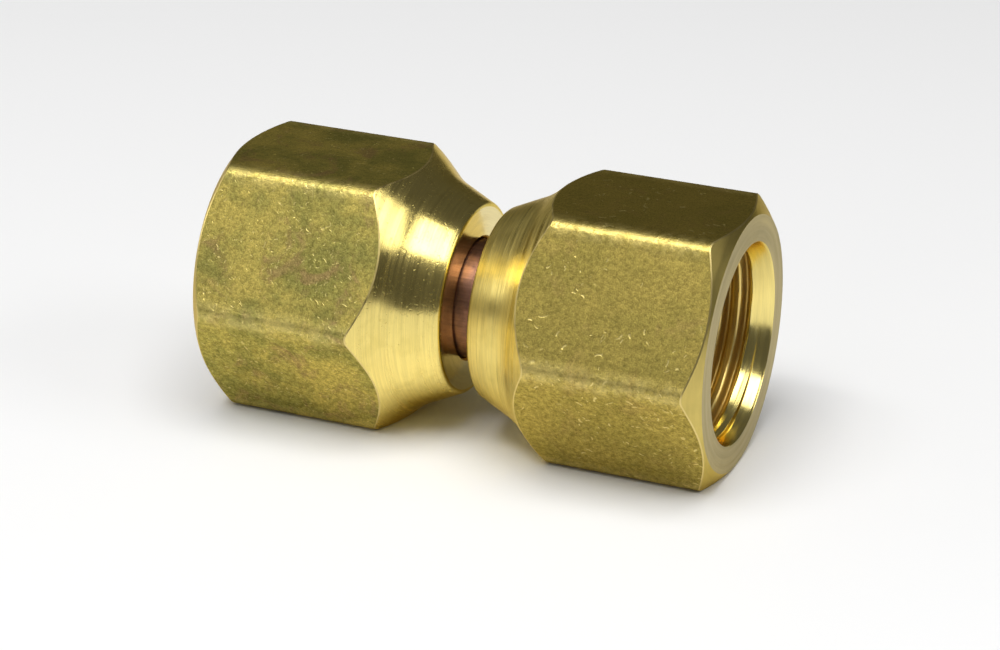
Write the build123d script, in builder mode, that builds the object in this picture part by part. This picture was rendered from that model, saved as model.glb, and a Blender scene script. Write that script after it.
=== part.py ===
from build123d import *
import os
from math import cos, radians, sin, tan

os.makedirs("parts", exist_ok=True)

# A flare swivel union: two brass flare nuts held captive on a short copper tube that is flared
# at both ends. The tube's axis is X, the origin is half way along it, and a flat of each hexagon
# faces down. All sizes are in millimetres.

# Nut, outside
ACROSS_FLATS = 20.64          # 13/16 inch hexagon
HEX_CORNER_RADIUS = 1.2       # rounded corners of the hexagon
NUT_LENGTH = 19.9
NECK_GAP = 2.2                # between the two nuts' end faces
NECK_RADIUS = 7.75            # at the neck's end
NECK_CORNER_RADIUS = 0.45     # rounds the neck's end
NECK_TAPER_ANGLE = 25.0       # of the neck's cone, from the axis
NECK_TAPER_LENGTH = 2.5       # along the axis
COVE_RADIUS = 5.6             # sweeps the neck out into the shoulder
SHOULDER_ANGLE = 42.5         # of the shoulder's cone, from the axis
MOUTH_FACE_RADIUS = 10.1
MOUTH_CHAMFER_ANGLE = 36.0    # from the mouth's face
EDGE_BREAK = 0.2              # at the neck bore's end

# Nut, inside: 5/8-18 UNF thread and a 45 degree seat
THREAD_PITCH = 25.4 / 18
THREAD_MAJOR_RADIUS = 15.875 / 2
THREAD_MINOR_RADIUS = 7.26
THREAD_FLANK_ANGLE = 30.0     # of each flank, from the plane across the axis
THREAD_ROOT_FLAT = THREAD_PITCH / 8
THREAD_OVERCUT = 0.05         # how far the thread's cutter stands inside the bore
THREAD_TURN = 210.0           # turns the helix about the axis, in degrees
THREAD_SETBACK = 1.0          # from the mouth's face to where the thread runs out
LEAD_IN_RADIUS = 7.96         # of the tapered lead-in, at the mouth's face
LEAD_IN_DEPTH = 1.9
NECK_BORE_RADIUS = 4.85
NECK_BORE_LENGTH = 5.0
SEAT_ANGLE = 45.0
RELIEF_RADIUS = 7.35          # plain bore between the seat and the first thread
RELIEF_LENGTH = 1.5

# Copper tube, 3/8 inch outside diameter
TUBE_RADIUS = 9.525 / 2
TUBE_WALL = 0.81
FLARE_RADIUS = 6.15
SEAT_GAP = 0.2                # along the axis, from each seat to the back of its flare
FLARE_BEND_RADIUS = 0.6

# Places along the axis, from the origin to the right nut's mouth
NECK_X = NECK_GAP / 2
MOUTH_X = NECK_X + NUT_LENGTH
SEAT_X = NECK_X + NECK_BORE_LENGTH
SEAT_END_X = SEAT_X + (RELIEF_RADIUS - NECK_BORE_RADIUS) / tan(radians(SEAT_ANGLE))
THREAD_X = SEAT_END_X + RELIEF_LENGTH
LEAD_IN_X = MOUTH_X - LEAD_IN_DEPTH


def outer_blank():
    """The turned outside of the right nut, a solid of revolution that the hexagon is cut down to."""
    neck_angle = radians(NECK_TAPER_ANGLE)
    shoulder_angle = radians(SHOULDER_ANGLE)
    chamfer_slope = tan(radians(MOUTH_CHAMFER_ANGLE))
    # The neck's corner turns from the end face to the neck's cone
    face_radius = NECK_RADIUS - NECK_CORNER_RADIUS * cos(neck_angle)
    taper_x = NECK_X + NECK_CORNER_RADIUS * (1 - sin(neck_angle))
    taper_end_x = taper_x + NECK_TAPER_LENGTH
    taper_end_radius = NECK_RADIUS + NECK_TAPER_LENGTH * tan(neck_angle)
    cove_end_x = taper_end_x + COVE_RADIUS * (sin(shoulder_angle) - sin(neck_angle))
    cove_end_radius = taper_end_radius + COVE_RADIUS * (cos(neck_angle) - cos(shoulder_angle))
    # The shoulder's cone and the mouth chamfer's cone meet well outside the hexagon
    cone_run = MOUTH_X + MOUTH_FACE_RADIUS * chamfer_slope - cove_end_x
    peak_radius = (cove_end_radius + cone_run * tan(shoulder_angle)) / (1 + tan(shoulder_angle) * chamfer_slope)
    peak_x = cove_end_x + (peak_radius - cove_end_radius) / tan(shoulder_angle)
    with BuildPart() as blank:
        with BuildSketch(Plane.XY):
            with BuildLine():
                Line((NECK_X, 0), (NECK_X, face_radius))
                RadiusArc((NECK_X, face_radius), (taper_x, NECK_RADIUS), NECK_CORNER_RADIUS)
                Line((taper_x, NECK_RADIUS), (taper_end_x, taper_end_radius))
                RadiusArc((taper_end_x, taper_end_radius), (cove_end_x, cove_end_radius), -COVE_RADIUS)
                Line((cove_end_x, cove_end_radius), (peak_x, peak_radius))
                Line((peak_x, peak_radius), (MOUTH_X, MOUTH_FACE_RADIUS))
                Line((MOUTH_X, MOUTH_FACE_RADIUS), (MOUTH_X, 0))
                Line((MOUTH_X, 0), (NECK_X, 0))
            make_face()
        revolve(axis=Axis.X)
    return blank.part


def thread_cutter():
    """One helical ridge along X that cuts the internal thread, running out in the lead-in."""
    start_radius = THREAD_MINOR_RADIUS - THREAD_OVERCUT
    height = THREAD_MAJOR_RADIUS - start_radius
    top_half = THREAD_ROOT_FLAT / 2
    base_half = top_half + height * tan(radians(THREAD_FLANK_ANGLE))
    with BuildPart() as cutter:
        with BuildLine():
            turns = Helix(
                pitch=THREAD_PITCH,
                height=MOUTH_X - THREAD_SETBACK - THREAD_X,
                radius=start_radius,
                center=(THREAD_X, 0, 0),
                direction=(1, 0, 0),
            )
        start = turns @ 0
        outward = Vector(0, start.Y, start.Z).normalized()
        with BuildSketch(Plane(origin=start, x_dir=outward, z_dir=turns % 0)):
            with BuildLine():
                Polyline((0, -base_half), (height, -top_half), (height, top_half), (0, base_half), close=True)
            make_face()
        sweep(path=turns, is_frenet=True)
    return cutter.part


def flare_nut():
    """The right nut, with its neck towards the origin and its threaded mouth facing +X."""
    with BuildPart() as nut:
        with BuildSketch(Plane.YZ.offset(NECK_X)):
            RegularPolygon(ACROSS_FLATS / 2, 6, major_radius=False)
            fillet(vertices(), HEX_CORNER_RADIUS)
        extrude(amount=NUT_LENGTH)
        add(outer_blank(), mode=Mode.INTERSECT)
        with BuildSketch(Plane.XY):
            with BuildLine():
                Polyline(
                    (NECK_X, 0),
                    (NECK_X, NECK_BORE_RADIUS + EDGE_BREAK),
                    (NECK_X + EDGE_BREAK, NECK_BORE_RADIUS),
                    (SEAT_X, NECK_BORE_RADIUS),
                    (SEAT_END_X, RELIEF_RADIUS),
                    (THREAD_X, RELIEF_RADIUS),
                    (THREAD_X, THREAD_MINOR_RADIUS),
                    (LEAD_IN_X, THREAD_MINOR_RADIUS),
                    (MOUTH_X, LEAD_IN_RADIUS),
                    (MOUTH_X, 0),
                    close=True,
                )
            make_face()
        revolve(axis=Axis.X, mode=Mode.SUBTRACT)
        add(thread_cutter(), rotation=(THREAD_TURN, 0, 0), mode=Mode.SUBTRACT)
    return nut.part


nut_solid = flare_nut()

with BuildPart() as right_nut:
    add(nut_solid)
right_nut.part.label = "right_nut"
export_step(right_nut.part, "parts/right_nut.step")

# Turned end for end about Z, so that its thread stays right-handed
with BuildPart() as left_nut:
    add(nut_solid, rotation=(0, 0, 180))
left_nut.part.label = "left_nut"
export_step(left_nut.part, "parts/left_nut.step")

# The tube's wall is one band, bent out to the flare angle at each end
with BuildPart() as flared_tube:
    flare_x = SEAT_X + SEAT_GAP - (NECK_BORE_RADIUS - TUBE_RADIUS)
    flare_run = (FLARE_RADIUS - TUBE_RADIUS) / tan(radians(SEAT_ANGLE))
    inner_radius = TUBE_RADIUS - TUBE_WALL
    inner_bend_x = flare_x + TUBE_WALL * tan(radians(SEAT_ANGLE / 2))
    lip_x = flare_x + flare_run + TUBE_WALL * sin(radians(SEAT_ANGLE))
    lip_radius = FLARE_RADIUS - TUBE_WALL * cos(radians(SEAT_ANGLE))
    with BuildSketch(Plane.XY):
        with BuildLine():
            Polyline(
                (-flare_x - flare_run, FLARE_RADIUS),
                (-flare_x, TUBE_RADIUS),
                (flare_x, TUBE_RADIUS),
                (flare_x + flare_run, FLARE_RADIUS),
                (lip_x, lip_radius),
                (inner_bend_x, inner_radius),
                (-inner_bend_x, inner_radius),
                (-lip_x, lip_radius),
                close=True,
            )
        make_face()
        bends = vertices().group_by(Axis.Y)
        fillet(bends[0], FLARE_BEND_RADIUS + TUBE_WALL)
    revolve(axis=Axis.X)
flared_tube.part.label = "flared_tube"
export_step(flared_tube.part, "parts/flared_tube.step")
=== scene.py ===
from math import atan, cos, pi, radians, sin, sqrt, tan

import bpy
import numpy as np
from mathutils import Matrix, Vector


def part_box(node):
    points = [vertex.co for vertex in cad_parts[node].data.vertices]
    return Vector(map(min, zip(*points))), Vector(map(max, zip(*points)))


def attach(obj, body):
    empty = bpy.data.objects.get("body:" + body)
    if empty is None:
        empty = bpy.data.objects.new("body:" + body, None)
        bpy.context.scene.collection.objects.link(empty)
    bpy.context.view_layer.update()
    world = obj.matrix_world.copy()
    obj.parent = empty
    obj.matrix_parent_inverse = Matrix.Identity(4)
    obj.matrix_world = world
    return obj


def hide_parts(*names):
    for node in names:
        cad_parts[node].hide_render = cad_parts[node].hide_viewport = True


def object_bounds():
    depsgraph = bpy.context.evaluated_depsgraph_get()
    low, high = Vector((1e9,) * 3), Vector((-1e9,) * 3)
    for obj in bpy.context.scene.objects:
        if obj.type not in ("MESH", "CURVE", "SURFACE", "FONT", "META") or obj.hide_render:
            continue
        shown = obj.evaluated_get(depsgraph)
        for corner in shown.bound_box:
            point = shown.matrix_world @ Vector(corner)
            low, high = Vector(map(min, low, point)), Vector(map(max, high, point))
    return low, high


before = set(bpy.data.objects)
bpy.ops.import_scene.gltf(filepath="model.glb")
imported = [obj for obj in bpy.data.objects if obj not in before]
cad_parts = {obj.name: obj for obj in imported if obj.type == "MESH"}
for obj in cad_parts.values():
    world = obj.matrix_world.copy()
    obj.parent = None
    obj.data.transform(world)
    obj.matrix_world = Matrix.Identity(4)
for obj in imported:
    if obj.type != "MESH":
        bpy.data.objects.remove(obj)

MM = 0.001
cad_low, cad_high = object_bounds()

# ---------------------------------------------------------------- sizes, in millimetres
# The nuts' ends, the hexagon and the flares' radius come from the frame. The rest are the part's
# own driving dimensions.
nut_low, nut_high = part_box("right_nut")
tube_low, tube_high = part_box("flared_tube")
NECK_X = nut_low.x / MM
NUT_LENGTH = (nut_high.x - nut_low.x) / MM
HEX_FLAT = (nut_high.z - nut_low.z) / MM / 2      # from the axis to a flat
HEX_CORNER_RADIUS = 1.2
NECK_RADIUS = 7.75
NECK_CORNER = 0.45
NECK_TAPER = radians(25)
NECK_TAPER_LENGTH = 2.5
COVE_RADIUS = 5.6
SHOULDER = radians(42.5)
MOUTH_FACE_RADIUS = 10.1
MOUTH_CHAMFER = radians(36)
EDGE_BREAK = 0.2
LEAD_IN_RADIUS = 7.96
LEAD_IN_DEPTH = 1.9
THREAD_MINOR = 7.26
THREAD_MAJOR = 7.9375
THREAD_PITCH = 25.4 / 18
THREAD_TURN = radians(210)
THREAD_SETBACK = 1.0
THREAD_ROOT_FLAT = THREAD_PITCH / 8
THREAD_FLANK = radians(30)    # of each flank, from the plane across the axis
THREAD_RUN_OUT = THREAD_PITCH / 3
RELIEF_RADIUS = 7.35
RELIEF_LENGTH = 1.5
NECK_BORE = 4.85
NECK_BORE_LENGTH = 5.0
RELIEF_START = NECK_BORE_LENGTH + RELIEF_RADIUS - NECK_BORE     # up a seat of 45 degrees
THREAD_START = RELIEF_START + RELIEF_LENGTH
TUBE_RADIUS = 9.525 / 2
TUBE_WALL = 0.81
FLARE_RADIUS = (tube_high.z - tube_low.z) / MM / 2
FLARE_ANGLE = radians(45)
SEAT_GAP = 0.2

# Wear, as geometry
CORNER_SOFTENING = 0.045      # how far tumbling has taken down the hexagon's corners
SOFTENED_WIDTH = 1.5
WORN_EDGE = 0.07              # width of the thin bright line along a crease
DENTS = 90                    # on each nut
DENT_PLACE = (0.08, 0.92)     # along the hexagon, as a share of its length
DENT_WIDTH = (0.16, 0.5)
DENT_DEPTH = (0.006, 0.022)
DENT_STRETCH = (0.4, 1.0)     # 1 is round, and less is drawn out one way
SEED = 7

# How finely the meshes are divided
FLAT_COLUMNS = 64             # across each flat of the hexagon
CORNER_COLUMNS = 10           # round each corner
TUBE_COLUMNS = 256
HEX_ROWS = 72                 # along the hexagon
THREAD_ROWS = 16              # along each turn of the thread
SHOULDER_ROWS = 12
CONE_ROWS = 8                 # along the neck's cone, the cove, the seat and the neck bore
NARROW_ROWS = 6               # along the end faces, the neck's corner and the mouth's chamfer
RELIEF_ROWS = 2
TUBE_ROWS = 12                # between the tube's bends
STEP = 0.05                   # along the axis, where the thread gives way to the relief or lead-in
TUBE_CREASE = radians(40)     # an edge of the tube that turns further than this is shaded sharp


# ---------------------------------------------------------------- the nut's surface
def hex_columns():
    """Angles round the axis, closely spaced at the corners, and the rounded hexagon's radius there.
    An angle is measured from +Y towards +Z, and a flat faces +Z."""
    half_flat = (HEX_FLAT - HEX_CORNER_RADIUS) * tan(pi / 6)
    corner_centre = (HEX_FLAT - HEX_CORNER_RADIUS) / cos(pi / 6)
    angles, radii = [], []
    for side in range(6):
        middle = pi / 6 + side * pi / 3
        for i in range(FLAT_COLUMNS):
            across = half_flat * (2 * i / FLAT_COLUMNS - 1)
            near_corner = max(abs(across) - half_flat + SOFTENED_WIDTH, 0) / SOFTENED_WIDTH
            angles.append(middle + atan(across / HEX_FLAT))
            radii.append(sqrt(HEX_FLAT**2 + across**2) - CORNER_SOFTENING * near_corner**2)
        for i in range(CORNER_COLUMNS):
            turn = pi / 3 * i / CORNER_COLUMNS - pi / 6
            along = corner_centre + HEX_CORNER_RADIUS * cos(turn)
            across = HEX_CORNER_RADIUS * sin(turn)
            angles.append(middle + pi / 6 + atan(across / along))
            radii.append(sqrt(along**2 + across**2) - CORNER_SOFTENING)
    return np.array(angles), np.array(radii)


def thread_share(station, angle):
    """How deep the right-handed thread is cut at a station from the neck's face, 0 at the crest and
    1 at the root."""
    phase = ((station - THREAD_START) / THREAD_PITCH - (angle - THREAD_TURN - pi / 2) / (2 * pi)) % 1.0
    from_groove = np.minimum(phase, 1 - phase) * THREAD_PITCH
    flank = (THREAD_MAJOR - THREAD_MINOR) * tan(THREAD_FLANK)
    return np.clip((THREAD_ROOT_FLAT / 2 - from_groove) / flank + 1, 0, 1)


class Rings:
    """Rows of points round the axis, joined to a closed mesh row by row. A row is a station and a
    radius, each a number or one value for each column."""

    def __init__(self, angles):
        self.angles = angles
        self.rows = []
        self.zones = []
        self.sharp = []

    def add(self, station, radius, zone, sharp=False):
        count = len(self.angles)
        self.rows.append((np.broadcast_to(station, count), np.broadcast_to(radius, count)))
        self.zones.append(zone)
        self.sharp.append(sharp)

    def line(self, start, end, count, zone):
        """Rows from start, which is there already, to end: each is (station, radius)."""
        for i in range(1, count + 1):
            t = i / count
            self.add(
                start[0] + (end[0] - start[0]) * t,
                start[1] + (end[1] - start[1]) * t,
                zone,
            )

    def crease(self):
        self.sharp[-1] = True


def dent_depths(stations, hexagon, angles, rng):
    """Shallow dents scattered over the hexagon: how far in each point of its rows stands."""
    depths = np.zeros((len(stations), len(angles)))
    for _ in range(DENTS):
        place = rng.uniform(*DENT_PLACE)
        turn = rng.uniform(0, 2 * pi)
        width = rng.uniform(*DENT_WIDTH)
        depth = rng.uniform(*DENT_DEPTH)
        stretch = rng.uniform(*DENT_STRETCH)
        lean = rng.uniform(0, pi)
        for row, (station, low, high) in enumerate(stations):
            along = station - (low + (high - low) * place)
            around = ((angles - turn + pi) % (2 * pi) - pi) * hexagon
            near = (along * cos(lean) + around * sin(lean)) ** 2
            far = (around * cos(lean) - along * sin(lean)) ** 2 * stretch**2
            depths[row] = np.maximum(depths[row], depth * np.exp(-(near + far) / (width / 2) ** 2))
    return depths


def nut_rings(rng):
    """The outside of the nut, from its neck bore over the neck, shoulder, hexagon and mouth face."""
    angles, hexagon = hex_columns()
    outside = Rings(angles)
    face_radius = NECK_RADIUS - NECK_CORNER * cos(NECK_TAPER)
    taper_start = NECK_CORNER * (1 - sin(NECK_TAPER))
    taper_end = taper_start + NECK_TAPER_LENGTH
    taper_end_radius = NECK_RADIUS + NECK_TAPER_LENGTH * tan(NECK_TAPER)
    cove_end = taper_end + COVE_RADIUS * (sin(SHOULDER) - sin(NECK_TAPER))
    cove_end_radius = taper_end_radius + COVE_RADIUS * (cos(NECK_TAPER) - cos(SHOULDER))
    shoulder_end = cove_end + (hexagon - cove_end_radius) / tan(SHOULDER)
    chamfer_start = NUT_LENGTH - (hexagon - MOUTH_FACE_RADIUS) * tan(MOUTH_CHAMFER)

    outside.add(0.0, NECK_BORE + EDGE_BREAK, "face", sharp=True)
    outside.line((0.0, NECK_BORE + EDGE_BREAK), (0.0, face_radius), NARROW_ROWS, "face")
    for i in range(1, NARROW_ROWS + 1):
        turn = (pi / 2 - NECK_TAPER) * i / NARROW_ROWS
        outside.add(NECK_CORNER * (1 - cos(turn)), face_radius + NECK_CORNER * sin(turn), "turned")
    outside.line((taper_start, NECK_RADIUS), (taper_end, taper_end_radius), CONE_ROWS, "turned")
    for i in range(1, CONE_ROWS + 1):
        turn = NECK_TAPER + (SHOULDER - NECK_TAPER) * i / CONE_ROWS
        outside.add(
            taper_end + COVE_RADIUS * (sin(turn) - sin(NECK_TAPER)),
            taper_end_radius + COVE_RADIUS * (cos(NECK_TAPER) - cos(turn)),
            "turned",
        )
    crease = (shoulder_end - WORN_EDGE * cos(SHOULDER), hexagon - WORN_EDGE * sin(SHOULDER))
    outside.line((cove_end, cove_end_radius), crease, SHOULDER_ROWS, "turned")
    outside.crease()
    outside.add(shoulder_end + WORN_EDGE, hexagon, "edge", sharp=True)
    hexagon_length = chamfer_start - shoulder_end - 2 * WORN_EDGE
    stations = []
    for i in range(1, HEX_ROWS):
        station = shoulder_end + WORN_EDGE + hexagon_length * i / HEX_ROWS
        stations.append((station, shoulder_end, chamfer_start))
    for (station, _, _), dent in zip(stations, dent_depths(stations, hexagon, angles, rng)):
        outside.add(station, hexagon - dent, "hexagon")
    outside.add(chamfer_start - WORN_EDGE, hexagon, "hexagon", sharp=True)
    bevel = (chamfer_start + WORN_EDGE * sin(MOUTH_CHAMFER), hexagon - WORN_EDGE * cos(MOUTH_CHAMFER))
    outside.add(*bevel, "edge", sharp=True)
    outer = (NUT_LENGTH, MOUTH_FACE_RADIUS)
    outside.line(bevel, outer, NARROW_ROWS, "chamfer")
    outside.crease()
    outside.line(outer, (NUT_LENGTH, LEAD_IN_RADIUS + WORN_EDGE), NARROW_ROWS, "mouth")
    return outside


def bore_rings():
    """The inside of the nut, from its mouth face to its neck bore, on every second column."""
    angles, _ = hex_columns()
    inside = Rings(angles[::2])
    lead_in_end = NUT_LENGTH - LEAD_IN_DEPTH
    taper = (LEAD_IN_RADIUS - THREAD_MINOR) / LEAD_IN_DEPTH
    inside.add(NUT_LENGTH, LEAD_IN_RADIUS + WORN_EDGE / 2, "mouth", sharp=True)
    rows = round((NUT_LENGTH - THREAD_START) / THREAD_PITCH * THREAD_ROWS)
    for i in range(1, rows + 1):
        station = NUT_LENGTH + (THREAD_START - NUT_LENGTH) * i / rows
        bore = THREAD_MINOR + max(station - lead_in_end, 0) * taper
        run_out = min(max((NUT_LENGTH - THREAD_SETBACK - station) / THREAD_RUN_OUT, 0), 1)
        cut = THREAD_MINOR + (THREAD_MAJOR - THREAD_MINOR) * thread_share(station, inside.angles)
        depth = np.maximum(cut - bore, 0) * run_out
        inside.add(station, bore + depth, "lead_in" if station > lead_in_end - STEP else "thread")
    inside.crease()
    relief = (THREAD_START - STEP, RELIEF_RADIUS)
    seat = (RELIEF_START, RELIEF_RADIUS)
    neck_bore = (NECK_BORE_LENGTH, NECK_BORE)
    inside.add(*relief, "thread", sharp=True)
    inside.line(relief, seat, RELIEF_ROWS, "thread")
    inside.crease()
    inside.line(seat, neck_bore, CONE_ROWS, "thread")
    inside.crease()
    inside.line(neck_bore, (EDGE_BREAK, NECK_BORE), CONE_ROWS, "thread")
    inside.crease()
    return inside


ZONES = ("face", "turned", "edge", "hexagon", "chamfer", "mouth", "lead_in", "thread")


def build_nut(name, side, materials, rng):
    """One nut as a closed mesh. side is 1 for the right nut, and -1 for the left, which is the same
    nut turned end for end about Z. The bore has half as many columns as the outside, so where the
    two meet a face takes two steps on one side and one on the other."""
    outside, inside = nut_rings(rng), bore_rings()
    vertices, faces, zones, sharp_edges = [], [], [], []
    starts = []
    for rings in (outside, inside):
        count = len(rings.angles)
        for station, radius in rings.rows:
            starts.append((len(vertices), count))
            x = (NECK_X + station) * MM * side
            y = radius * np.cos(rings.angles) * MM * side
            z = radius * np.sin(rings.angles) * MM
            vertices.extend(zip(x, y, z))
    all_zones = outside.zones + inside.zones
    all_sharp = outside.sharp + inside.sharp
    for row in range(len(starts)):
        a, count_a = starts[row]
        b, count_b = starts[(row + 1) % len(starts)]
        zone = ZONES.index(all_zones[(row + 1) % len(starts)])
        for i in range(min(count_a, count_b)):
            next_a, next_b = (i + 1) % count_a, (i + 1) % count_b
            if count_a == count_b:
                loop = (a + i, a + next_a, b + next_b, b + i)
            elif count_a > count_b:
                loop = (a + 2 * i, a + 2 * i + 1, a + (2 * i + 2) % count_a, b + next_b, b + i)
            else:
                loop = (a + i, a + next_a, b + (2 * i + 2) % count_b, b + 2 * i + 1, b + 2 * i)
            faces.append(loop)
            zones.append(zone)
        if all_sharp[row]:
            sharp_edges.extend((a + i, a + (i + 1) % count_a) for i in range(count_a))
    mesh = bpy.data.meshes.new(name)
    mesh.from_pydata([tuple(v) for v in vertices], [], faces)
    mesh.update()
    mesh.polygons.foreach_set("material_index", zones)
    mesh.polygons.foreach_set("use_smooth", [True] * len(faces))
    wanted = {frozenset(e) for e in sharp_edges}
    attribute = mesh.attributes.new("sharp_edge", "BOOLEAN", "EDGE")
    attribute.data.foreach_set("value", [frozenset(e.vertices) in wanted for e in mesh.edges])
    for zone in ZONES:
        mesh.materials.append(materials[zone])
    mesh.flip_normals()
    nut = bpy.data.objects.new(name, mesh)
    bpy.context.scene.collection.objects.link(nut)
    return nut


# ---------------------------------------------------------------- materials
GRAZING_TINT = (0.85, 0.72, 0.42, 1)      # of what the metal reflects at a low angle
ACROSS_GROOVES = 0.25                     # of a turn, from the tangent to the way a highlight is drawn
WORN_COLOR = (0.88, 0.72, 0.27)           # where tumbling has rubbed the tarnish off
MARK_COLOR = (0.90, 0.74, 0.28)

NOISE_RANGE = (0.3, 0.7)                  # that most of a noise's values lie in
CORNER_RANGE = (HEX_FLAT + 0.85, HEX_FLAT + 1.3)    # from the axis, where a corner's wear fades in

# Patterns of noise: features to a millimetre, detail, roughness and distortion
BROAD_PATCHES = (0.16, 3, 0.55, 0.6)
PATCHES = (0.36, 5, 0.68, 0.5)
TARNISH = (0.34, 4, 0.65, 0.8)
WEAR = (1.1, 4, 0.7)
CROWDS = (0.3, 3, 0.6)                    # where scratches gather
GRAIN = (3.0, 5, 0.72)
FINE_GRAIN = (9.0, 4, 0.7)
RINGS = (1.0, 3, 0.7)
BANDS = (1.0, 2, 0.5)
BLOTCHES = (0.6, 4, 0.6, 0.5)
SPECKS = (4.0, 2, 0.5)
THREAD_RINGS = (1.0, 3, 0.6)
STREAKS = (1.0, 3, 0.6)
FILM = (0.9, 4, 0.6, 0.6)

MARK_BEND = (0.35, 0.62)                  # radius of a scratch's curve, as a share of its cell
MARK_ENDS = (0.84, 0.94)                  # cosine of the angle where a scratch fades in
MARK_SHARE = 0.85                         # of the cells that hold a scratch
MARK_WIDTH = 0.065                        # as a share of a cell
FIRST_MARK_WIDTH = 0.06                   # of the first and longest layer
MARK_SEEDS = (3.0, 21.0, 5.0, 11.0)       # one for each layer
MARK_CORE = 0.3                           # of a scratch's width that is at full strength
MARK_DEPTH = 0.012
MARK_POLISH = 0.08                        # how much smoother a scratch is than the metal round it

BROAD_SHARE = 0.55                        # of the mottling that the broad patches make
GRAIN_ROUGHNESS = 0.07                    # how far the grain moves the roughness, either way
FINE_HEIGHT = 0.25                        # of the fine grain, as a share of the grain's
WEAR_SHARE = 0.3                          # of WORN_COLOR where a corner is worn most
WEAR_ROUGHNESS = 0.03
CORNER_RIPPLE = 0.10                      # height of the unevenness at a worn corner
PIT_DEPTH = 0.010
PIT_ROUGHNESS = 0.15
THREAD_RING_HEIGHT = 0.006
STREAK_SCALE = (0.25, 5.0, 5.0)           # streaks to a millimetre, drawn out along X
STREAK_HEIGHT = 0.004


class Finish:
    """One material's node tree, built with short calls. Lengths in the tree are in millimetres."""

    def __init__(self, name):
        self.material = bpy.data.materials.new(name)
        self.material.use_nodes = True
        self.tree = self.material.node_tree
        self.shader = self.tree.nodes["Principled BSDF"]
        self.shader.inputs["Metallic"].default_value = 1
        self.shader.inputs["Specular Tint"].default_value = GRAZING_TINT
        place = self.add("TexCoord").outputs["Object"]
        self.place = self.vector("SCALE", place, scale=1 / MM)

    def feed(self, socket, value):
        if isinstance(value, bpy.types.NodeSocket):
            self.tree.links.new(value, socket)
        else:
            socket.default_value = value

    def add(self, kind, **inputs):
        node = self.tree.nodes.new("ShaderNode" + kind)
        for key, value in inputs.items():
            self.feed(node.inputs[key], value)
        return node

    def math(self, operation, *values):
        node = self.add("Math")
        node.operation = operation
        for socket, value in zip(node.inputs, values):
            self.feed(socket, value)
        return node.outputs[0]

    def vector(self, operation, *values, scale=None):
        node = self.add("VectorMath")
        node.operation = operation
        for socket, value in zip(node.inputs, values):
            self.feed(socket, value)
        if scale is not None:
            self.feed(node.inputs["Scale"], scale)
        scalar = operation in ("DOT_PRODUCT", "LENGTH", "DISTANCE")
        return node.outputs["Value" if scalar else "Vector"]

    def remap(self, value, low, high, to_low=0.0, to_high=1.0):
        """A smooth step from to_low to to_high as value goes from low to high."""
        node = self.tree.nodes.new("ShaderNodeMapRange")
        node.interpolation_type = "SMOOTHSTEP"
        for socket, given in zip(node.inputs, (value, low, high, to_low, to_high)):
            self.feed(socket, given)
        return node.outputs[0]

    def noise(self, scale, detail=2.0, roughness=0.5, distortion=0.0, at=None):
        node = self.add("TexNoise", Scale=scale, Detail=detail, Roughness=roughness, Distortion=distortion)
        self.feed(node.inputs["Vector"], at or self.place)
        return node.outputs["Fac"]

    def mix(self, share, first, second):
        node = self.tree.nodes.new("ShaderNodeMix")
        node.data_type = "RGBA"
        for socket, value in ((0, share), (6, first), (7, second)):
            value = (*value, 1) if isinstance(value, tuple) else value
            self.feed(node.inputs[socket], value)
        return node.outputs[2]

    def shaded(self, color, share):
        """color times share, a number from 0 up."""
        return self.vector("SCALE", color, scale=share)

    def bump(self, height):
        """The normal of a surface raised by a height in millimetres."""
        return self.add("Bump", Strength=1.0, Distance=MM, Height=height).outputs["Normal"]

    def turn(self, amount):
        """Fine lathe grooves round the axis, which draw each highlight out across them."""
        tangent = self.tree.nodes.new("ShaderNodeTangent")
        tangent.direction_type = "RADIAL"
        tangent.axis = "X"
        self.shader.inputs["Anisotropic"].default_value = amount
        self.shader.inputs["Anisotropic Rotation"].default_value = ACROSS_GROOVES
        self.tree.links.new(tangent.outputs[0], self.shader.inputs["Tangent"])

    def finish(self, color, roughness, normal):
        self.feed(self.shader.inputs["Base Color"], color)
        self.feed(self.shader.inputs["Roughness"], roughness)
        self.feed(self.shader.inputs["Normal"], normal)
        return self.material

    def from_axis(self):
        """Distance from the fitting's axis, in millimetres."""
        return self.vector("LENGTH", self.vector("MULTIPLY", self.place, (0, 1, 1)))

    def lathe_place(self, per_mm, around):
        """A place for noise that makes rings: fine along the turned outline, slow round the axis."""
        split = self.add("SeparateXYZ", Vector=self.place)
        radius = self.from_axis()
        along = self.math("ADD", self.math("ABSOLUTE", split.outputs[0]), radius)
        fine = self.math("MULTIPLY", along, per_mm)
        side = self.math("MULTIPLY", self.math("DIVIDE", split.outputs[1], radius), around)
        height = self.math("MULTIPLY", self.math("DIVIDE", split.outputs[2], radius), around)
        return self.add("CombineXYZ", X=fine, Y=side, Z=height).outputs[0]

    def marks(self, per_mm, width, seed):
        """Short curved scratches, 1 on a scratch and 0 off it, at most one to a cell. A seed shifts
        the cells."""
        place = self.vector("ADD", self.place, (seed, seed * 1.7, seed * 2.3))
        cells = self.add("TexVoronoi", Vector=place, Scale=per_mm)
        chance = self.add("SeparateColor", Color=cells.outputs["Color"])
        facing = self.vector("NORMALIZE", self.vector("SUBTRACT", cells.outputs["Color"], (0.5, 0.5, 0.5)))
        local = self.vector("SUBTRACT", place, cells.outputs["Position"])
        bend = self.remap(chance.outputs[0], 0, 1, *MARK_BEND)
        off = self.math("ABSOLUTE", self.math("SUBTRACT", cells.outputs["Distance"], bend))
        toward = self.vector("DOT_PRODUCT", self.vector("NORMALIZE", local), facing)
        near = self.remap(toward, *MARK_ENDS)
        line = self.remap(off, width * MARK_CORE, width, to_low=1, to_high=0)
        chosen = self.math("LESS_THAN", chance.outputs[1], MARK_SHARE)
        return self.math("MULTIPLY", self.math("MULTIPLY", line, near), chosen)


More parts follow.
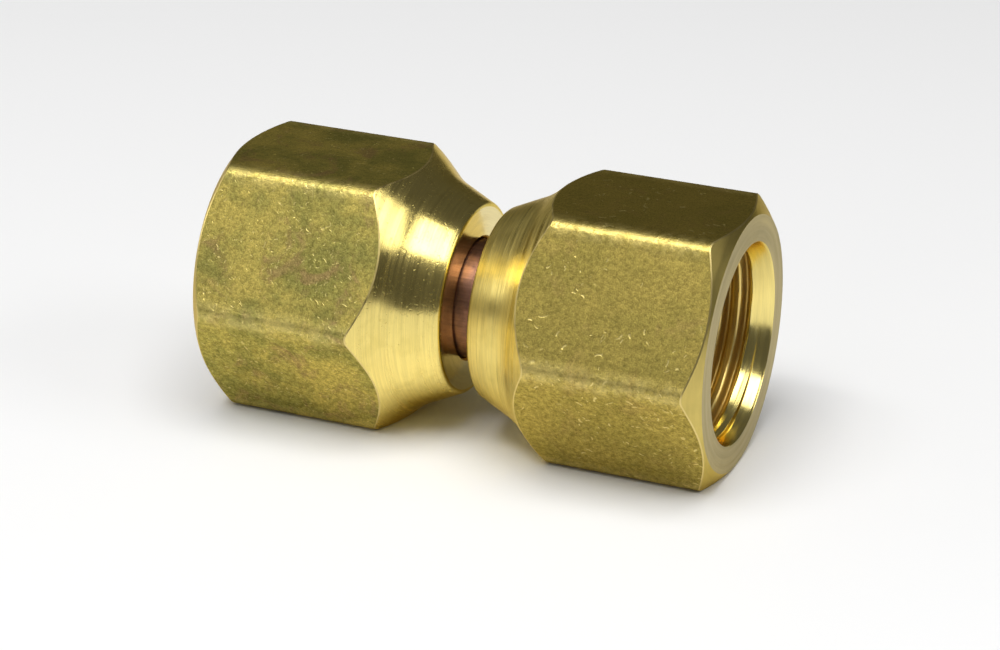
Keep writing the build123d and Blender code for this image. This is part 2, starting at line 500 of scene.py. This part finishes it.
def tumbled_brass(
    name,
    fresh,
    olive,
    stain,
    stain_share,
    roughness,
    grain_depth,
    marks_per_mm,
    crowding,
    mark_strength,
):
    """The hexagon: bar stock that has rolled about with others, dull and grainy, with bright marks.
    It is fresh where it is cleanest, olive where it has dulled, and stained in places. marks_per_mm
    is one number for each layer of scratches, and crowding is the range of noise where they gather."""
    f = Finish(name)
    broad = f.noise(*BROAD_PATCHES)
    patch = f.noise(*PATCHES)
    grain = f.noise(*GRAIN)
    fine = f.noise(*FINE_GRAIN)
    corner = f.remap(f.from_axis(), *CORNER_RANGE)
    mottle = f.math(
        "ADD",
        f.math("MULTIPLY", broad, BROAD_SHARE),
        f.math("MULTIPLY", patch, 1 - BROAD_SHARE),
    )
    dull = f.remap(mottle, low=0.38, high=0.60)
    tarnish = f.remap(f.noise(*TARNISH), low=0.52, high=0.70)
    rubbed = f.remap(f.noise(*WEAR), low=0.36, high=0.58, to_low=0.1)
    wear = f.math("MULTIPLY", corner, rubbed)
    widths = (FIRST_MARK_WIDTH, MARK_WIDTH, MARK_WIDTH, MARK_WIDTH)
    layers = [f.marks(*layer) for layer in zip(marks_per_mm, widths, MARK_SEEDS)]
    marks = layers[0]
    for layer in layers[1:]:
        marks = f.math("MAXIMUM", marks, layer)
    marks = f.math("MULTIPLY", marks, f.remap(f.noise(*CROWDS), *crowding))

    color = f.mix(dull, fresh, olive)
    color = f.mix(f.math("MULTIPLY", tarnish, stain_share), color, stain)
    color = f.shaded(color, f.remap(grain, *NOISE_RANGE, to_low=0.62, to_high=1.30))
    color = f.shaded(color, f.remap(fine, *NOISE_RANGE, to_low=0.74, to_high=1.22))
    color = f.mix(f.math("MULTIPLY", wear, WEAR_SHARE), color, WORN_COLOR)
    color = f.mix(f.math("MULTIPLY", marks, mark_strength), color, MARK_COLOR)
    rough = f.remap(
        grain, *NOISE_RANGE, to_low=roughness + GRAIN_ROUGHNESS, to_high=roughness - GRAIN_ROUGHNESS
    )
    rough = f.math("ADD", rough, f.math("MULTIPLY", wear, WEAR_ROUGHNESS))
    rough = f.math("SUBTRACT", rough, f.math("MULTIPLY", marks, MARK_POLISH))
    height = f.math("MULTIPLY", grain, grain_depth)
    ripple = f.math("MULTIPLY", f.math("MULTIPLY", corner, patch), CORNER_RIPPLE)
    height = f.math("ADD", height, ripple)
    height = f.math("ADD", height, f.math("MULTIPLY", fine, grain_depth * FINE_HEIGHT))
    height = f.math("SUBTRACT", height, f.math("MULTIPLY", marks, MARK_DEPTH))
    return f.finish(color, rough, f.bump(height))


def turned_brass(
    name,
    bright,
    dark,
    roughness,
    ring_depth,
    ring_pitch,
    ring_tone=0.06,
    draw=0.3,
    blotch=0.3,
    pits=0.0,
):
    """A surface off the lathe: fine rings round the axis, with faint blotches and perhaps pits. draw
    is how far the rings draw out a highlight."""
    f = Finish(name)
    rings = f.noise(*RINGS, at=f.lathe_place(per_mm=1 / ring_pitch, around=1.6))
    bands = f.noise(*BANDS, at=f.lathe_place(per_mm=2.2, around=0.8))
    blot = f.noise(*BLOTCHES)
    pitted = f.remap(blot, low=0.40, high=0.58, to_low=0.1, to_high=pits)
    pit = f.math("MULTIPLY", f.remap(f.noise(*SPECKS), low=0.60, high=0.72), pitted)
    color = f.mix(f.math("MULTIPLY", f.remap(blot, low=0.45, high=0.72), blotch), bright, dark)
    color = f.shaded(color, f.remap(rings, *NOISE_RANGE, to_low=1 - ring_tone, to_high=1 + ring_tone))
    rough = f.remap(bands, *NOISE_RANGE, to_low=roughness * 0.8, to_high=roughness * 1.25)
    rough = f.math("ADD", rough, f.math("MULTIPLY", pit, PIT_ROUGHNESS))
    f.turn(draw)
    height = f.math("MULTIPLY", rings, ring_depth)
    height = f.math("SUBTRACT", height, f.math("MULTIPLY", pit, PIT_DEPTH))
    return f.finish(color, rough, f.bump(height))


def thread_brass(name):
    """The bore: bright crests, and roots darkened with painted shade."""
    f = Finish(name)
    rings = f.noise(*THREAD_RINGS, at=f.lathe_place(per_mm=8.0, around=1.2))
    root = f.remap(f.from_axis(), low=THREAD_MINOR + 0.15, high=THREAD_MAJOR - 0.1)
    # painted shade: the colour darkens from the crests down into the thread's roots
    color = f.mix(root, (0.84, 0.64, 0.22), (0.64, 0.46, 0.15))
    color = f.shaded(color, f.remap(rings, *NOISE_RANGE, to_low=0.86, to_high=1.08))
    rough = f.remap(root, low=0, high=1, to_low=0.34, to_high=0.44)
    return f.finish(color, rough, f.bump(f.math("MULTIPLY", rings, THREAD_RING_HEIGHT)))


def drawn_copper(name):
    """The tube: dull drawn copper, with faint lines along it and a brown film."""
    f = Finish(name)
    streak = f.noise(*STREAKS, at=f.vector("MULTIPLY", f.place, STREAK_SCALE))
    film = f.noise(*FILM)
    color = f.mix(f.remap(film, low=0.4, high=0.66), (0.25, 0.125, 0.080), (0.17, 0.088, 0.062))
    color = f.shaded(color, f.remap(streak, *NOISE_RANGE, to_low=0.82, to_high=1.14))
    rough = f.remap(film, low=0.35, high=0.7, to_low=0.34, to_high=0.46)
    return f.finish(color, rough, f.bump(f.math("MULTIPLY", streak, STREAK_HEIGHT)))


def nut_finishes(side_name, hexagon, turned_roughness, ring_tone, draw, pits):
    """The finishes of one nut, by zone."""
    return {
        "hexagon": hexagon,
        "face": turned_brass(
            side_name + "_polished_face",
            bright=(0.92, 0.84, 0.54),
            dark=(0.86, 0.77, 0.46),
            roughness=0.16,
            ring_depth=0.0004,
            ring_pitch=0.3,
        ),
        "turned": turned_brass(
            side_name + "_turned",
            bright=(0.84, 0.68, 0.22),
            dark=(0.64, 0.51, 0.14),
            roughness=turned_roughness,
            ring_depth=0.004,
            ring_pitch=0.14,
            ring_tone=ring_tone,
            draw=draw,
            blotch=0.4,
            pits=pits,
        ),
        "edge": turned_brass(
            side_name + "_worn_edge",
            bright=(0.70, 0.56, 0.22),
            dark=(0.56, 0.44, 0.16),
            roughness=0.38,
            ring_depth=0.003,
            ring_pitch=0.2,
        ),
        "chamfer": turned_brass(
            side_name + "_chamfer",
            bright=(0.60, 0.47, 0.14),
            dark=(0.46, 0.37, 0.11),
            roughness=0.36,
            ring_depth=0.004,
            ring_pitch=0.16,
        ),
        "mouth": turned_brass(
            side_name + "_mouth_face",
            bright=(0.53, 0.47, 0.30),
            dark=(0.47, 0.41, 0.25),
            roughness=0.55,
            ring_depth=0.0015,
            ring_pitch=0.25,
        ),
        "lead_in": turned_brass(
            side_name + "_lead_in",
            bright=(0.90, 0.74, 0.26),
            dark=(0.82, 0.66, 0.21),
            roughness=0.20,
            ring_depth=0.0014,
            ring_pitch=0.2,
        ),
        "thread": thread_brass(side_name + "_thread"),
    }


# ---------------------------------------------------------------- the pieces
def build_tube(material):
    """The copper tube, flared at both ends, as one lathed wall."""
    flare_start = NECK_X + NECK_BORE_LENGTH + SEAT_GAP - (NECK_BORE - TUBE_RADIUS)
    flare_end = flare_start + (FLARE_RADIUS - TUBE_RADIUS) / tan(FLARE_ANGLE)
    inner = TUBE_RADIUS - TUBE_WALL
    inner_bend = flare_start + TUBE_WALL * tan(FLARE_ANGLE / 2)
    lip = (flare_end + TUBE_WALL * sin(FLARE_ANGLE), FLARE_RADIUS - TUBE_WALL * cos(FLARE_ANGLE))
    middle = [flare_start * (2 * i / TUBE_ROWS - 1) for i in range(1, TUBE_ROWS)]
    profile = [(-flare_end, FLARE_RADIUS), (-flare_start, TUBE_RADIUS)]
    profile += [(x, TUBE_RADIUS) for x in middle]
    profile += [(flare_start, TUBE_RADIUS), (flare_end, FLARE_RADIUS), lip]
    profile += [(inner_bend, inner), (-inner_bend, inner), (-lip[0], lip[1])]
    vertices, faces = [], []
    for x, radius in profile:
        for i in range(TUBE_COLUMNS):
            turn = 2 * pi * i / TUBE_COLUMNS
            vertices.append((x * MM, radius * cos(turn) * MM, radius * sin(turn) * MM))
    for row in range(len(profile)):
        a = row * TUBE_COLUMNS
        b = (row + 1) % len(profile) * TUBE_COLUMNS
        for i in range(TUBE_COLUMNS):
            j = (i + 1) % TUBE_COLUMNS
            faces.append((a + i, b + i, b + j, a + j))
    mesh = bpy.data.meshes.new("copper_tube")
    mesh.from_pydata(vertices, [], faces)
    mesh.update()
    mesh.flip_normals()
    mesh.materials.append(material)
    mesh.polygons.foreach_set("use_smooth", [True] * len(faces))
    mesh.set_sharp_from_angle(angle=TUBE_CREASE)
    tube = bpy.data.objects.new("copper_tube", mesh)
    bpy.context.scene.collection.objects.link(tube)
    return tube


finishes = {
    "right": nut_finishes(
        "right",
        tumbled_brass(
            "right_hexagon",
            fresh=(0.44, 0.337, 0.082),
            olive=(0.37, 0.293, 0.07),
            stain=(0.44, 0.30, 0.10),
            stain_share=0.35,
            roughness=0.38,
            grain_depth=0.020,
            marks_per_mm=(0.7, 0.95, 1.3, 0.8),
            crowding=(0.45, 0.56),
            mark_strength=0.7,
        ),
        turned_roughness=0.34,
        ring_tone=0.14,
        draw=0.62,
        pits=0.2,
    ),
    "left": nut_finishes(
        "left",
        tumbled_brass(
            "left_hexagon",
            fresh=(0.56, 0.445, 0.11),
            olive=(0.31, 0.28, 0.073),
            stain=(0.40, 0.26, 0.11),
            stain_share=0.7,
            roughness=0.42,
            grain_depth=0.026,
            marks_per_mm=(1.1, 1.5, 2.0, 1.3),
            crowding=(0.34, 0.54),
            mark_strength=0.55,
        ),
        turned_roughness=0.22,
        ring_tone=0.09,
        draw=0.72,
        pits=0.5,
    ),
}
rng = np.random.default_rng(SEED)
for side_name, side in (("right", 1), ("left", -1)):
    nut = build_nut(side_name + "_flare_nut", side, finishes[side_name], rng)
    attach(nut, side_name + "_nut")
    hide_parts(side_name + "_nut")
tube = build_tube(drawn_copper("copper"))
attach(tube, "tube")
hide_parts("flared_tube")

# ---------------------------------------------------------------- floor, light and camera
FLOOR_SIZE = 4                # metres
FLOOR_COLOR = (0.9, 0.9, 0.9, 1)
WORLD_COLOR = (1, 1, 1, 1)
WORLD_STRENGTH = 0.09

bpy.ops.mesh.primitive_plane_add(size=FLOOR_SIZE, location=(0, 0, cad_low.z))
floor = bpy.context.object
floor.name = "floor"
floor_material = bpy.data.materials.new("floor")
floor_material.use_nodes = True
floor_material.node_tree.nodes["Principled BSDF"].inputs["Base Color"].default_value = FLOOR_COLOR
floor.data.materials.append(floor_material)

world = bpy.data.worlds.new("studio")
bpy.context.scene.world = world
world.use_nodes = True
world.node_tree.nodes["Background"].inputs["Color"].default_value = WORLD_COLOR
world.node_tree.nodes["Background"].inputs["Strength"].default_value = WORLD_STRENGTH


def outward(azimuth, elevation):
    """A direction away from the object. Azimuth 0 is the front, -Y, and 90 degrees is +X."""
    a, e = radians(azimuth), radians(elevation)
    return Vector((sin(a) * cos(e), -cos(a) * cos(e), sin(e)))


def softbox(name, azimuth, elevation, distance, width, height, radiance):
    """An area light that faces the origin, with its distance and sides in metres."""
    away = outward(azimuth, elevation)
    data = bpy.data.lights.new(name, "AREA")
    data.shape = "RECTANGLE"
    data.size, data.size_y = width, height
    data.energy = radiance * pi * width * height
    light = bpy.data.objects.new(name, data)
    light.location = away * distance
    light.rotation_mode = "QUATERNION"
    light.rotation_quaternion = away.to_track_quat("Z", "Y")
    bpy.context.scene.collection.objects.link(light)


softbox("key", azimuth=-25, elevation=60, distance=0.6, width=0.36, height=0.11, radiance=7.0)
softbox("overhead", azimuth=21, elevation=74, distance=0.7, width=0.60, height=0.50, radiance=4.6)
softbox("front", azimuth=-25, elevation=26, distance=0.7, width=0.60, height=0.56, radiance=0.48)
softbox("right", azimuth=92, elevation=38, distance=0.6, width=0.36, height=0.16, radiance=3.1)
softbox("left", azimuth=-84, elevation=15, distance=0.6, width=0.30, height=0.12, radiance=2.8)
softbox("behind", azimuth=-140, elevation=36, distance=0.8, width=0.50, height=0.35, radiance=0.12)

VIEW_AZIMUTH = 21.43          # degrees, as for the softboxes
VIEW_ELEVATION = 23.83
VIEW_ROLL = radians(0.94)
VIEW_DISTANCE = 234.8
VIEW_AIM = (3.43, -6.39, 1.07)
LENS = 110.3
CLIP_START = 0.01             # metres

back = outward(VIEW_AZIMUTH, VIEW_ELEVATION)
right = outward(VIEW_AZIMUTH + 90, 0)
up = back.cross(right)
level = Matrix((right, up, back)).transposed()
camera_data = bpy.data.cameras.new("camera")
camera_data.lens = LENS
camera_data.clip_start = CLIP_START
camera = bpy.data.objects.new("camera", camera_data)
bpy.context.scene.collection.objects.link(camera)
turned = level @ Matrix.Rotation(VIEW_ROLL, 3, "Z")
camera.matrix_world = Matrix.Translation((Vector(VIEW_AIM) + back * VIEW_DISTANCE) * MM) @ turned.to_4x4()
bpy.context.scene.camera = camera
bpy.context.scene.view_settings.view_transform = "Standard"
